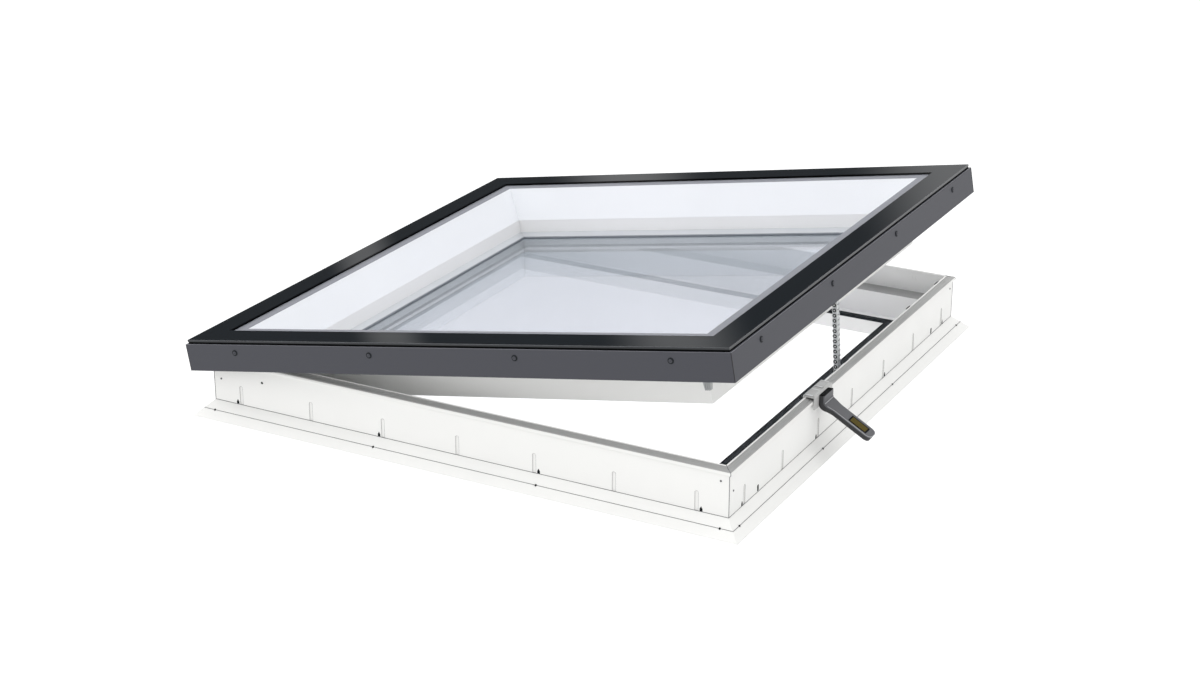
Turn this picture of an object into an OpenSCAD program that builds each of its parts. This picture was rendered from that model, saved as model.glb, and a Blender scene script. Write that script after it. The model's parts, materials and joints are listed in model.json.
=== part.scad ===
// Flat-roof skylight, 1.2 m nominal: a hollow plastic base with a fixing flange, and a hinged
// sash under a flat cover glass that a chain actuator pushes open.
// X runs from the hinge side to the opening side, Y from front to back, Z up from the roof deck.

/* [Base] */
// Outer width of the upright base walls, hinge side to opening side
wall_w = 1340; // [900:1:1700]
// Outer depth of the upright base walls, front to back
wall_d = 1340; // [900:1:1700]
// Height of the rim's inner bead above the roof deck
base_h = 149.5; // [140:0.5:165]
// Wall thickness of the hollow plastic profiles
pvc_t = 3; // [2:0.1:4]
// Reach of the sloped fixing flange beyond the wall
flange_reach = 39.5; // [32:0.5:50]
// Height of the flange on the wall
flange_h = 36.3; // [30:0.1:42]
// Distance of the nail line outside the wall
nail_out = 20; // [15:0.5:25]
// Height of the inner seal ledge
ledge_h = 36; // [30:0.5:36]
// Height of the trough floor behind the rim
trough_h = 92; // [84:0.5:94]
// Thickness of the rim
rim_t = 17; // [12:0.5:20]
// Inset of the trough floor's inner edge from the outer wall
trough_in = 67; // [60:0.5:69]
// Inset of the seal ledge's outer edge from the outer wall
seat_in = 82; // [70:0.5:84]
// Inset of the clear opening from the outer wall
opening_in = 132; // [126:0.5:140]
// Radius of the rim's outer bead
bead_r = 6; // [4:0.5:7]
// Radius of the rim's inner bead
rim_bead_r = 2.5; // [1.5:0.1:3]
// Depth of the band between the rim's two beads
band_drop = 2; // [0:0.1:2.4]
// Width of the fine grooves along the nail line and the flange's top
groove_w = 1.3; // [0.6:0.1:2]
// Depth of those grooves
groove_deep = 1.8; // [0.6:0.1:2]

/* [Wall details] */
// Distance between the drain slots on each wall
slot_pitch = 198; // [120:1:240]
// Width of a drain slot
slot_w = 8.6; // [5:0.1:12]
// Height of a drain slot's rounded top above the roof deck
slot_top = 83; // [60:1:86]
// Depth of a drain slot in the wall's face
slot_deep = 1.6; // [0.8:0.1:1.8]
// Depth of the drain notches and vents, through the wall and into its foam
port_deep = 24; // [8:1:40]
// Width of a drain notch beside a slot
notch_w = 5; // [3:0.5:8]
// Height of a drain notch
notch_h = 10.7; // [6:0.1:16]
// Distance of a drain notch from the middle of its slot
notch_off = 11; // [8:0.5:16]
// Diameter of a nail hole
nail_d = 5; // [3:0.5:6]
// Distance of the outer nail holes from the wall's corner
nail_corner = 11; // [8:1:40]
// Distance of the inner nail holes from the middle of a side
nail_mid = 213; // [120:1:240]
// Distance of the corner pins from the wall's corner
pin_corner = 20; // [16:1:40]
// Diameter of a corner pin's head
pin_head_d = 4.4; // [3:0.1:8]
// Diameter of a corner pin's shank
pin_d = 2.4; // [1.5:0.1:3]
// Diameter of the cable hole through the front rim
cable_d = 6; // [4:0.5:9]
// Distance of the cable hole from the wall's corner
cable_corner = 138; // [100:1:200]

/* [Cover] */
// Overhang of the cover glass beyond the base wall
glass_over = 37; // [30:0.5:45]
// Height of the cover glass's top face when closed
glass_z = 209.4; // [205:0.1:215]
// Thickness of the cover glass
glass_t = 5; // [4:0.5:6]
// Height of the seal between the glass and the skirt
seal_h = 4.6; // [3:0.1:6]
// Width of the seal under the glass edge
seal_w = 22; // [12:1:26]
// Projection of the skirt beyond the glass edge
skirt_out = 4.2; // [3:0.1:7]
// Thickness of the skirt's sheet
skirt_t = 2; // [1.5:0.1:3]
// Height of the skirt
skirt_h = 64.9; // [50:0.5:75]
// Width of the skirt's top flange
skirt_flange = 32; // [25:1:33]
// Depth of the cover frame's underside below the glass top
cover_under = 34; // [28:0.5:34]
// Thickness of the cover frame's leg below the underside, measured level
leg_t = 3.4; // [2.5:0.1:4]
// Inset of the cover frame's top inner edge from the outer wall
cover_in = 64; // [53:1:69]
// Inset of the crease between the cover frame and the sash rail, from the outer wall
crease_in = 100; // [95:0.5:105]
// Depth of the crease below the glass top
crease_z = 87.5; // [75:0.5:95]
// Diameter of the sealing washer under a skirt screw
washer_d = 14; // [10:0.5:16]
// Diameter of a skirt screw's head
cap_d = 8.4; // [7:0.1:9.5]
// Diameter of a skirt screw's shank
screw_d = 4; // [3:0.5:4.5]
// Depth of the screws below the glass top
cap_z = 28.8; // [24:0.1:30]
// Distance of the outer screws from the glass corner
cap_corner = 137; // [100:1:180]
// Distance of the inner screws from the middle of a side
cap_mid = 191; // [120:1:240]

/* [Sash] */
// Inset of the sash rail's outer face from the outer wall, at its top
sash_top_in = 81; // [77:0.5:83]
// Inset of the sash rail's outer face from the outer wall, at its foot
sash_foot_in = 87; // [85:0.5:91]
// Depth of the sash rail's foot below the glass top
sash_deep = 170.3; // [168:0.1:171]
// Inset from the outer wall of the edge that carries the insulating glass unit
lip_in = 122; // [119:0.5:125]
// Thickness of that edge
lip_t = 6.4; // [5:0.1:6.6]
// Depth of the insulating glass unit's top face below the glass top
igu_z = 134; // [130:0.5:135]
// Thickness of the unit's outer pane
pane_out_t = 4; // [4:0.5:6]
// Thickness of the unit's inner pane
pane_in_t = 6; // [5:0.5:7]
// Width of the gas space between the panes
gas_t = 14; // [12:1:15]
// Gap between the unit's edge and the sash rail
igu_gap = 4; // [2:0.5:5]
// Inset of the glazing bead's inner edge from the outer wall
bead_in = 116; // [111:0.5:118]
// Height of the glazing bead on the rail
bead_h = 9.2; // [6:0.1:12]
// Height of the gasket between the bead and the unit
bead_gasket_h = 3; // [2:0.1:4]

/* [Motion] */
// Angle by which the sash stands open
open_angle = 10.06; // [4:0.01:11]
// Inset of the hinge axis from the outer wall
hinge_in = 67; // [60:0.5:69]
// Height of the hinge axis
hinge_z = 167.2; // [165:0.1:167.2]
// Distance of each hinge from the middle of its side
hinge_y = 420; // [250:1:500]
// Radius of the hinge knuckles
knuckle_r = 7.2; // [6:0.1:7.4]
// Diameter of the hinge pins
hinge_pin_d = 8; // [6:0.5:9]
// Inset of the chain's top pivot from the outer wall, sash closed
chain_in = 38; // [37:0.5:40]
// Depth of the chain's top pivot below the glass top
pivot_z = 52.4; // [50:0.1:53]
// Pitch of the chain
chain_pitch = 12.7; // [9.525:0.005:15.875]
// Overall width of the chain
chain_w = 16.4; // [12:0.1:20]
// Length of the actuator's housing
actuator_l = 460; // [300:1:560]
// Width of the actuator's housing
actuator_w = 36; // [34:0.5:40]
// Height of the actuator's housing
actuator_h = 34; // [33:0.5:40]
// Size of the slope on the housing's inner top edge
actuator_slope = 17; // [8:0.5:17]

/* [Rain sensor] */
// Distance of the sensor's middle from the middle of the opening side, towards the front
sensor_y = 195; // [120:1:300]
// Width of the sensor's saddle bracket
saddle_w = 100; // [80:1:140]
// Width of each of the two raised ribs on the saddle
saddle_rib = 36; // [20:1:38]
// Length of the sensor's arm
arm_l = 127; // [115:1:150]
// Width of the sensor's arm
arm_w = 45; // [30:1:60]
// Thickness of the sensor's arm
arm_t = 12; // [8:0.5:14]
// Corner radius of the arm's end
arm_r = 13; // [4:0.5:20]
// Slope of the sensor's arm below level
arm_slope = 29.5; // [15:0.5:45]

/* [Hidden] */

// Sides, turned about Z in steps of 90 degrees
FRONT = 0;
OPENING = 1;
BACK = 2;
HINGE = 3;
SIDES = [FRONT, OPENING, BACK, HINGE];

eps = 0.5;
running_gap = 0.05;
seat_gap = 0.3;
$fn = 48;

half_w = wall_w / 2;
half_d = wall_d / 2;
glass_half_w = half_w + glass_over;
glass_half_d = half_d + glass_over;
profile_reach = 200;

// The sash's inner pieces follow the base walls; these are their insets from the glass edge
cover_edge = glass_over + cover_in;
crease_edge = glass_over + crease_in;
sash_top_edge = glass_over + sash_top_in;
sash_foot_edge = glass_over + sash_foot_in;
lip_edge = glass_over + lip_in;
bead_edge = glass_over + bead_in;

// Depths below the glass top
seal_z = glass_t + seal_h;
skirt_foot = seal_z + skirt_h;
cover_top = glass_t + 1;
flange_z = seal_z + skirt_t;
igu_foot = igu_z + pane_out_t + gas_t + pane_in_t;
lip_gasket_h = 2;
lip_top = igu_foot + lip_gasket_h;
igu_in = crease_edge + igu_gap;

// Unit edge: sealant outside, spacer bar inside it
spacer_w = 7;
spacer_in = lip_edge - spacer_w;

// Colours
PVC = "#F2F2F0";
GREY = "#58595D";
RUBBER = "#22282B";
STEEL = "#8E9296";
DARK = "#55565A";

// Left-hand normal of the edge from a to b
function edge_normal(a, b) = let (v = b - a) [-v.y, v.x] / norm(v);

// Corner b moved inward by d, to where its two shifted edges meet
function inset_corner(a, b, c, d) =
    let (n1 = edge_normal(a, b), n2 = edge_normal(b, c))
    b + d * (n1 + n2) / (1 + n1 * n2);

// Anticlockwise outline moved inward by d
function inset(pts, d) =
    let (n = len(pts))
    [for (i = [0 : n - 1]) inset_corner(pts[(i + n - 1) % n], pts[i], pts[(i + 1) % n], d)];

// Half the run of a side, and its distance from the centre
function run_of(side, w, d) = side % 2 == 0 ? w : d;
function away_of(side, w, d) = side % 2 == 0 ? d : w;

// Places children on a side: X along it, Y inward from the line at half sizes w and d
module on_side(side, w, d) {
    rotate([0, 0, 90 * side])
        translate([0, -away_of(side, w, d), 0])
            children();
}

// A child section (X inward, Y up) run along a side and mitred at both corners
module mitred(side, w, d) {
    run = run_of(side, w, d);
    reach = profile_reach;
    on_side(side, w, d) intersection() {
        translate([-run - reach, 0, 0])
            rotate([90, 0, 90])
                linear_extrude(2 * (run + reach))
                    children();
        translate([0, 0, -reach])
            linear_extrude(2 * reach + base_h)
                polygon([[-run - reach, -reach], [run + reach, -reach],
                         [run - reach, reach], [-run + reach, reach]]);
    }
}

// The same for the sash: sections there are inset from the glass edge and measured from its top
module sash_mitred(side) {
    translate([0, 0, glass_z]) mitred(side, glass_half_w, glass_half_d) children();
}

// Sash coordinates: closed pose turned open about the hinge axis
module in_sash() {
    translate([-half_w + hinge_in, 0, hinge_z])
        rotate([0, -open_angle, 0])
            translate([half_w - hinge_in, 0, -hinge_z])
                children();
}

// A flat ring between two insets from the glass edge, over a depth range below the glass top
module sash_ring(outer, inner, top, foot) {
    translate([0, 0, glass_z - foot])
        linear_extrude(foot - top) difference() {
            square([2 * (glass_half_w - outer), 2 * (glass_half_d - outer)], center = true);
            square([2 * (glass_half_w - inner), 2 * (glass_half_d - inner)], center = true);
        }
}

// A flat plate inset from the glass edge, over a depth range below the glass top
module sash_plate(in, top, foot) {
    translate([0, 0, glass_z - foot])
        linear_extrude(foot - top)
            square([2 * (glass_half_w - in), 2 * (glass_half_d - in)], center = true);
}

// ---- Base ----

// Hollow body of the rail below the trough floor
body_pts = [[0, 0], [opening_in, 0], [opening_in, ledge_h], [seat_in, ledge_h],
            [trough_in, trough_h], [0, trough_h]];

// Upright rim, open to the trough on its inner side
rim_shoulder = base_h - 2 * rim_bead_r - 3;
rim_pts = [[0, trough_h], [rim_t, trough_h], [rim_t, base_h - rim_bead_r], [0, rim_shoulder]];
bead_z = rim_shoulder - 3;

// Fine groove cut down into a surface, its mouth at the origin
module groove() {
    translate([-groove_w / 2, -groove_deep]) square([groove_w, groove_deep + eps]);
}

bead_x = bead_r - 5;
module rail_section() {
    difference() {
        union() {
            polygon(body_pts);
            polygon(rim_pts);
            polygon([[-flange_reach, 0], [0, 0], [0, flange_h]]);
            translate([bead_x, bead_z]) circle(bead_r);
            translate([rim_t - rim_bead_r, base_h - rim_bead_r]) circle(rim_bead_r);
            polygon([[bead_x, bead_z + bead_r - band_drop], [bead_x, bead_z],
                     [rim_t - rim_bead_r, bead_z], [rim_t - rim_bead_r, base_h - band_drop]]);
        }
        polygon(inset(body_pts, pvc_t));
        polygon(inset(rim_pts, pvc_t));
        translate([0, flange_h]) rotate(45) groove();
        translate([-nail_out, flange_h * (1 - nail_out / flange_reach)])
            rotate(atan(flange_h / flange_reach)) groove();
    }
}

// Drain slots along a wall: as many as fit at the pitch
slot_margin = 70;
function slot_count(run) = floor((2 * run - 2 * slot_margin) / slot_pitch) + 1;

module drain_slot() {
    slot_r = slot_w / 2;
    translate([-slot_r, -eps, flange_h]) cube([slot_w, slot_deep + eps, slot_top - flange_h - slot_r]);
    translate([0, slot_deep, slot_top - slot_r]) rotate([90, 0, 0]) cylinder(r = slot_r, h = slot_deep + eps);
}

// Narrow notch with a pointed top
module drain_notch() {
    translate([0, port_deep, flange_h]) rotate([90, 0, 0])
        linear_extrude(port_deep + eps)
            polygon([[-notch_w / 2, 0], [notch_w / 2, 0], [notch_w / 2, notch_h / 2],
                     [0, notch_h], [-notch_w / 2, notch_h / 2]]);
}

// Level hole into the wall, its middle at height z
module wall_hole(x, z, d, deep) {
    translate([x, deep, z]) rotate([90, 0, 0]) cylinder(d = d, h = deep + eps);
}

// Corner pins stand low at the start of each side and high at its end
pin_low = trough_h;
pin_high = 118;
function pin_places(run) = [[-run + pin_corner, pin_low], [run - pin_corner, pin_high]];

// Middles of a wall's drain slots
function slot_places(run) = let (n = slot_count(run)) [for (i = [0 : n - 1]) (i - (n - 1) / 2) * slot_pitch];

// Holes through a wall: a notch beside every second slot, and the opening side's two vents
module wall_ports(side) {
    run = run_of(side, half_w, half_d);
    slots = slot_places(run);
    on_side(side, half_w, half_d) {
        for (i = [0 : 2 : len(slots) - 1])
            translate([slots[i] + (slots[i] < 0 ? -notch_off : notch_off), 0, 0]) drain_notch();
        if (side == OPENING)
            for (s = [-1, 1]) translate([s * (run - vent_corner), 0, 0]) vent_slot();
    }
}

module base_rail(side) {
    run = run_of(side, half_w, half_d);
    color(PVC) difference() {
        mitred(side, half_w, half_d) rail_section();
        wall_ports(side);
        on_side(side, half_w, half_d) {
            for (x = slot_places(run)) translate([x, 0, 0]) drain_slot();
            for (x = [-run + nail_corner, -nail_mid, nail_mid, run - nail_corner])
                translate([x, -nail_out, -eps]) cylinder(d = nail_d, h = flange_h);
            for (p = pin_places(run)) wall_hole(p[0], p[1], pin_d + 2 * running_gap, pvc_t + seat_gap);
            if (side == FRONT) wall_hole(-run + cable_corner, cable_h, cable_d, rim_t + eps);
            if (side == BACK)
                for (k = [0, 1])
                    translate([-run + rim_mark_corner + k * rim_mark_pitch, rim_t, 0]) rim_mark();
        }
    }
}

cable_h = 104;

// Upright slots with round ends near the opening side's corners
vent_corner = 146;
vent_w = 5;
vent_low = 38;
vent_high = 53;
module vent_slot() {
    r = vent_w / 2;
    translate([-r, -eps, vent_low + r]) cube([vent_w, port_deep + eps, vent_high - vent_low - vent_w]);
    for (z = [vent_low + r, vent_high - r]) wall_hole(0, z, vent_w, port_deep);
}

// Two short marks in the back rim's trough side
rim_mark_corner = 94;
rim_mark_pitch = 9;
rim_mark_h = 14;
module rim_mark() {
    translate([-1, -1, base_h - 2 * rim_mark_h]) cube([2, 1 + eps, rim_mark_h]);
}

// Foam that fills the hollow body of a rail
module insulation(side) {
    color("#E9E9E4") difference() {
        mitred(side, half_w, half_d) polygon(inset(body_pts, pvc_t));
        wall_ports(side);
    }
}

// Hollow seal on the ledge round the clear opening
gasket_w = 18;
gasket_h = glass_z - lip_top - lip_t - seat_gap - ledge_h;
gasket_lip_r = 3;
module base_gasket() {
    in_edge = opening_in - 1;
    color(RUBBER) for (side = SIDES) mitred(side, half_w, half_d) {
        translate([in_edge - gasket_w, ledge_h]) square([gasket_w, gasket_h - gasket_lip_r]);
        translate([in_edge - gasket_w + gasket_lip_r, ledge_h])
            square([gasket_w - 2 * gasket_lip_r, gasket_h - 1]);
        for (s = [in_edge - gasket_w + gasket_lip_r, in_edge - gasket_lip_r])
            translate([s, ledge_h + gasket_h - gasket_lip_r]) circle(gasket_lip_r);
    }
}

module corner_pins() {
    color(STEEL) for (side = SIDES) {
        run = run_of(side, half_w, half_d);
        on_side(side, half_w, half_d) for (p = pin_places(run))
            translate([p[0], 0, p[1]]) rotate([90, 0, 0]) {
                cylinder(d = pin_head_d, h = 1);
                translate([0, 0, -pvc_t]) cylinder(d = pin_d, h = pvc_t + eps);
            }
    }
}

// ---- Hinges ----

// Each hinge has two knuckles on the base leaf and one between them on the sash leaf
hinge_w = 80;
knuckle_mid = 24;
knuckle_side = 16;
knuckle_gap = 0.4;
leaf_t = 4;
hinge_foot = 44;
hinge_bore_d = hinge_pin_d + 2 * running_gap;

// Places children with the hinge axis along Y through the origin, hinge middle at y = 0
module at_hinge(s) {
    translate([-half_w + hinge_in, s * hinge_y, hinge_z]) children();
}

// Cylinder along Y, centred on y = 0
module along_y(d, l) {
    rotate([90, 0, 0]) cylinder(d = d, h = l, center = true);
}

module base_leaf(s) {
    drop = hinge_z - trough_h;
    ear_y = knuckle_mid / 2 + knuckle_gap;
    color(STEEL) at_hinge(s) difference() {
        union() {
            translate([-hinge_foot, -hinge_w / 2, -drop]) cube([hinge_foot, hinge_w, leaf_t]);
            translate([-leaf_t, -hinge_w / 2, -drop]) cube([leaf_t, hinge_w, drop - knuckle_r - 2]);
            for (m = [0, 1]) mirror([0, m, 0]) {
                translate([-leaf_t, ear_y, -knuckle_r - 3]) cube([leaf_t, knuckle_side, knuckle_r + 3]);
                translate([0, ear_y + knuckle_side / 2, 0]) along_y(2 * knuckle_r, knuckle_side);
            }
        }
        along_y(hinge_bore_d, hinge_w + 2 * eps);
        for (y = [-1, 1]) translate([-hinge_foot / 2, y * hinge_w / 3, -drop - eps])
            cylinder(d = screw_d, h = leaf_t + 2 * eps);
    }
}

module hinge_pin(s) {
    shank = knuckle_mid + 2 * (knuckle_gap + knuckle_side) + 2;
    color("#B9BCC0") at_hinge(s) {
        along_y(hinge_pin_d, shank);
        for (m = [0, 1]) mirror([0, m, 0]) translate([0, shank / 2 + 0.75, 0]) along_y(hinge_pin_d + 3, 1.5);
    }
}

module sash_leaf(s) {
    plate_h = glass_z - cover_under - hinge_z;
    plate_t = 3;
    clear = knuckle_r + 1;
    color(STEEL) in_sash() at_hinge(s) difference() {
        union() {
            translate([-hinge_foot - clear, -hinge_w / 2, plate_h - plate_t])
                cube([hinge_foot, hinge_w, plate_t]);
            translate([-clear - eps, -knuckle_mid / 2, plate_h - plate_t])
                cube([clear + eps, knuckle_mid, plate_t]);
            along_y(2 * knuckle_r, knuckle_mid);
        }
        along_y(hinge_bore_d, hinge_w);
        for (y = [-1, 1]) translate([-hinge_foot / 2 - clear, y * hinge_w / 3, plate_h - plate_t - eps])
            cylinder(d = screw_d, h = plate_t + 2 * eps);
    }
}

// ---- Actuator and chain ----

actuator_t = 2;
actuator_x = half_w - rim_t - seat_gap - actuator_w;
chain_foot_x = half_w - chain_in - 1;
drive_w = 26;
drive_l = 36;
drive_h = 17.5;
mouth_l = chain_w + 8;

// Section of the housing, X outward from its inner face, with a slope that clears the view
actuator_pts = [[0, 0], [actuator_w, 0], [actuator_w, actuator_h], [actuator_slope, actuator_h],
                [0, actuator_h - actuator_slope]];

// Places a section drawn in the housing's X and Z along Y, over a length centred on y = 0
module along_housing(l) {
    translate([actuator_x, l / 2, trough_h]) rotate([90, 0, 0]) linear_extrude(l) children();
}

// Mouth of the housing: a square hole of side l round the chain, from height z upward
module mouth_hole(l, z) {
    translate([chain_foot_x - l / 2, -l / 2, trough_h + z]) cube([l, l, actuator_h]);
}

module actuator_housing() {
    color("#A9ACB0") difference() {
        along_housing(actuator_l) polygon(actuator_pts);
        along_housing(actuator_l + 2 * eps) polygon(inset(actuator_pts, actuator_t));
        mouth_hole(mouth_l, actuator_t + drive_h);
    }
}

module actuator_end_caps() {
    cap_t = 5;
    color("#3A3C3F") for (m = [0, 1]) mirror([0, m, 0])
        translate([0, (actuator_l + cap_t) / 2, 0]) along_housing(cap_t) polygon(actuator_pts);
}

module actuator_motor() {
    motor_l = 150;
    motor_r = 12;
    wall = actuator_t + 0.2;
    color("#6B6E72")
        translate([actuator_x + actuator_w - wall - motor_r, drive_l / 2, trough_h + wall + motor_r])
        rotate([-90, 0, 0]) cylinder(r = motor_r, h = motor_l);
}

module chain_drive() {
    color("#6B6E72") along_housing(drive_l)
        translate([actuator_w - actuator_t - 0.2 - drive_w, actuator_t]) square([drive_w, drive_h]);
}

// Collar set into the housing's mouth, flush with its outside
guide_t = 2;
module chain_guide() {
    color("#3A3C3F") difference() {
        intersection() {
            along_housing(actuator_l) polygon(actuator_pts);
            mouth_hole(mouth_l - 2 * seat_gap, actuator_t + drive_h + seat_gap);
        }
        mouth_hole(mouth_l - 2 * (seat_gap + guide_t), 0);
    }
}

// Top pivot of the chain: closed place, then turned open about the hinge axis
pivot_closed = [wall_w - hinge_in - chain_in, glass_z - pivot_z - hinge_z];
pivot = [-half_w + hinge_in + pivot_closed.x * cos(open_angle) - pivot_closed.y * sin(open_angle),
         hinge_z + pivot_closed.x * sin(open_angle) + pivot_closed.y * cos(open_angle)];
chain_foot = [chain_foot_x, trough_h + actuator_t + drive_h + seat_gap];
chain_lean = atan2(pivot.x - chain_foot.x, pivot.y - chain_foot.y);
plate_r = 6.5;
plate_t = 1.5;
chain_run = norm(pivot - chain_foot) - plate_r;
links = floor(chain_run / chain_pitch);
chain_pin_d = 5;
roller_d = 7.6;

// One link plate hanging from the origin, its outer face at y
module link_plate(y) {
    translate([0, y, 0]) rotate([90, 0, 0]) {
        for (z = [0, chain_pitch]) translate([0, -z, 0]) cylinder(r = plate_r, h = plate_t);
        translate([-plate_r * 0.8, -chain_pitch, 0]) cube([2 * plate_r * 0.8, chain_pitch, plate_t]);
    }
}

module chain() {
    color("#8C8F92") translate([pivot.x, 0, pivot.y]) rotate([0, chain_lean, 0]) difference() {
        union() {
            for (i = [0 : links - 1]) translate([0, 0, -i * chain_pitch]) {
                outer = chain_w / 2 - (i % 2 == 0 ? 0 : plate_t);
                link_plate(outer);
                link_plate(-outer + plate_t);
                translate([0, 0, -chain_pitch]) along_y(roller_d, chain_w - 2 * plate_t);
            }
            along_y(roller_d, chain_w - 2 * plate_t);
        }
        along_y(chain_pin_d + 0.4, chain_w + 2);
    }
}

bracket_gap = 0.4;
bracket_t = 3;
module chain_bracket() {
    ear = 14;
    foot = [40, 56];
    top = glass_z - cover_under;
    color(STEEL) in_sash() translate([half_w - chain_in, 0, 0]) difference() {
        union() {
            translate([-foot.x / 2, -foot.y / 2, top - bracket_t]) cube([foot.x, foot.y, bracket_t]);
            for (m = [0, 1]) mirror([0, m, 0]) translate([0, chain_w / 2 + bracket_gap, 0]) {
                translate([-ear / 2, 0, glass_z - pivot_z])
                    cube([ear, bracket_t, pivot_z - cover_under - eps]);
                translate([0, bracket_t / 2, glass_z - pivot_z]) along_y(ear, bracket_t);
            }
        }
        translate([0, 0, glass_z - pivot_z]) along_y(chain_pin_d, foot.y);
    }
}

module chain_pin() {
    l = chain_w + 2 * (bracket_gap + bracket_t);
    color("#B9BCC0") in_sash() translate([half_w - chain_in, 0, glass_z - pivot_z]) {
        along_y(chain_pin_d, l);
        for (m = [0, 1]) mirror([0, m, 0]) translate([0, l / 2 + 0.75, 0]) along_y(chain_pin_d + 3, 1.5);
    }
}

// ---- Rain sensor on the opening side ----

saddle_t = 3;
saddle_out = 6;
saddle_foot = 122;
head_t = 13;
head_w = 54;
head_top = 150;
head_foot = 130;

// Places children with X outward from the wall, Y along it, at the sensor's middle
module at_sensor() {
    translate([half_w, -sensor_y, 0]) children();
}

// Folded plate over the rim, stiffened by two raised ribs
saddle_in = rim_t + seat_gap;
saddle_hook = 16;
saddle_top = base_h + seat_gap + saddle_t;
saddle_pts = [[-saddle_in - saddle_t, base_h - saddle_hook], [-saddle_in, base_h - saddle_hook],
              [-saddle_in, base_h + seat_gap], [saddle_out, base_h + seat_gap],
              [saddle_out, saddle_foot], [saddle_out + saddle_t, saddle_foot],
              [saddle_out + saddle_t, saddle_top - saddle_t / 2],
              [saddle_out + saddle_t / 2, saddle_top], [-saddle_in - saddle_t, saddle_top]];

module sensor_saddle() {
    rib_h = saddle_t - seat_gap;
    rib_gap = saddle_w / 2 - 4 - saddle_rib;
    color(PVC) at_sensor() {
        translate([0, saddle_w / 2, 0]) rotate([90, 0, 0]) linear_extrude(saddle_w) polygon(saddle_pts);
        for (m = [0, 1]) mirror([0, m, 0])
            translate([0, rib_gap + saddle_rib, 0]) rotate([90, 0, 0]) linear_extrude(saddle_rib)
                polygon([[-saddle_in - saddle_t, saddle_top], [saddle_out, saddle_top],
                         [saddle_out - rib_h, saddle_top + rib_h], [-saddle_in, saddle_top + rib_h]]);
    }
}

// Arm coordinates: X along the arm from the elbow, Z up from its top face
module at_arm() {
    at_sensor() translate([saddle_out + saddle_t + head_t, 0, head_foot])
        rotate([0, arm_slope, 0]) children();
}

window_x = 63;
window_l = 48;
window_w = 26;
window_deep = 1.5;
glaze_t = 1;
patch_t = 0.4;
module sensor_arm() {
    color(DARK) difference() {
        union() {
            at_sensor() translate([saddle_out + saddle_t, -head_w / 2, head_foot - arm_t])
                cube([head_t, head_w, head_top - head_foot + arm_t]);
            at_arm() {
                translate([-head_t / 2, -arm_w / 2, -arm_t]) cube([arm_l - arm_r + head_t / 2, arm_w, arm_t]);
                translate([0, arm_r - arm_w / 2, -arm_t]) cube([arm_l, arm_w - 2 * arm_r, arm_t]);
                for (y = [arm_r - arm_w / 2, arm_w / 2 - arm_r])
                    translate([arm_l - arm_r, y, -arm_t]) cylinder(r = arm_r, h = arm_t);
            }
        }
        at_arm() translate([window_x, -window_w / 2, -window_deep])
            cube([window_l, window_w, window_deep + eps]);
    }
}

module sensor_window() {
    color("#101214") at_arm()
        translate([window_x, -window_w / 2, -window_deep]) cube([window_l, window_w, glaze_t]);
}

module sensor_patch() {
    border = 3;
    color("#7A6A1A") at_arm()
        translate([window_x + border, -window_w / 2 + border, -window_deep + glaze_t])
        cube([window_l - 2 * border, window_w - 2 * border, patch_t]);
}

// ---- Cover ----

module top_glass() {
    color("#BFCAD3", 0.5) in_sash() sash_plate(0, 0, glass_t);
}

module glass_seal() {
    color(RUBBER) in_sash() sash_ring(1, 1 + seal_w, glass_t, seal_z);
}

// Bonding tape between the cover frame and the glass, behind the black border
tape_out = 40;
tape_in = 64;
module glass_tape() {
    color(RUBBER) in_sash() sash_ring(tape_out, tape_in, glass_t, cover_top);
}

lip_w = 8;
module skirt(side) {
    color(GREY) in_sash() difference() {
        sash_mitred(side) {
            translate([-skirt_out, -skirt_foot]) square([skirt_t, skirt_h]);
            translate([-skirt_out, -flange_z]) square([skirt_flange, skirt_t]);
            translate([-skirt_out, -skirt_foot]) square([lip_w, skirt_t]);
        }
        cap_places(side) translate([0, 0, -1]) cylinder(d = screw_d + 2 * running_gap, h = skirt_out + 2);
    }
}

// Screw axes on one side of the skirt, Z outward from the glass edge
module cap_places(side) {
    run = run_of(side, glass_half_w, glass_half_d);
    for (x = [-run + cap_corner, -cap_mid, cap_mid, run - cap_corner])
        on_side(side, glass_half_w, glass_half_d)
            translate([x, 0, glass_z - cap_z]) rotate([90, 0, 0]) children();
}

washer_t = 1;
module skirt_screws() {
    grip = skirt_t + pvc_t;
    head_h = 1.2;
    drive_d = 3;
    color(GREY) in_sash() for (side = SIDES) cap_places(side) translate([0, 0, skirt_out]) difference() {
        union() {
            translate([0, 0, washer_t]) cylinder(d = cap_d, h = head_h);
            translate([0, 0, washer_t + head_h]) cylinder(d1 = cap_d, d2 = cap_d - 2, h = 0.6);
            translate([0, 0, -grip]) cylinder(d = screw_d, h = grip + washer_t + eps);
        }
        translate([0, 0, washer_t + head_h - 0.4]) cylinder(d = drive_d, h = 2);
    }
}

// Sealing washers between the screw heads and the skirt
module screw_washers() {
    color(RUBBER) in_sash() for (side = SIDES) cap_places(side) translate([0, 0, skirt_out]) difference() {
        cylinder(d = washer_d, h = washer_t);
        translate([0, 0, -eps]) cylinder(d = screw_d, h = washer_t + 2 * eps);
    }
}

// Hollow frame under the glass, its inner wall sloping down to the crease
cover_out = skirt_t - skirt_out;
step_in = skirt_flange - skirt_out + 0.5;
cover_slope = (crease_edge - cover_edge) / (crease_z - cover_top);
under_in = cover_edge + cover_slope * (cover_under - cover_top);
cover_pts = [[cover_out, -cover_under], [under_in, -cover_under], [cover_edge, -cover_top],
             [step_in, -cover_top], [step_in, -flange_z], [cover_out, -flange_z]];
leg_pts = [[under_in - leg_t, -cover_under], [crease_edge - leg_t, -crease_z],
           [crease_edge, -crease_z], [under_in, -cover_under]];

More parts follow.
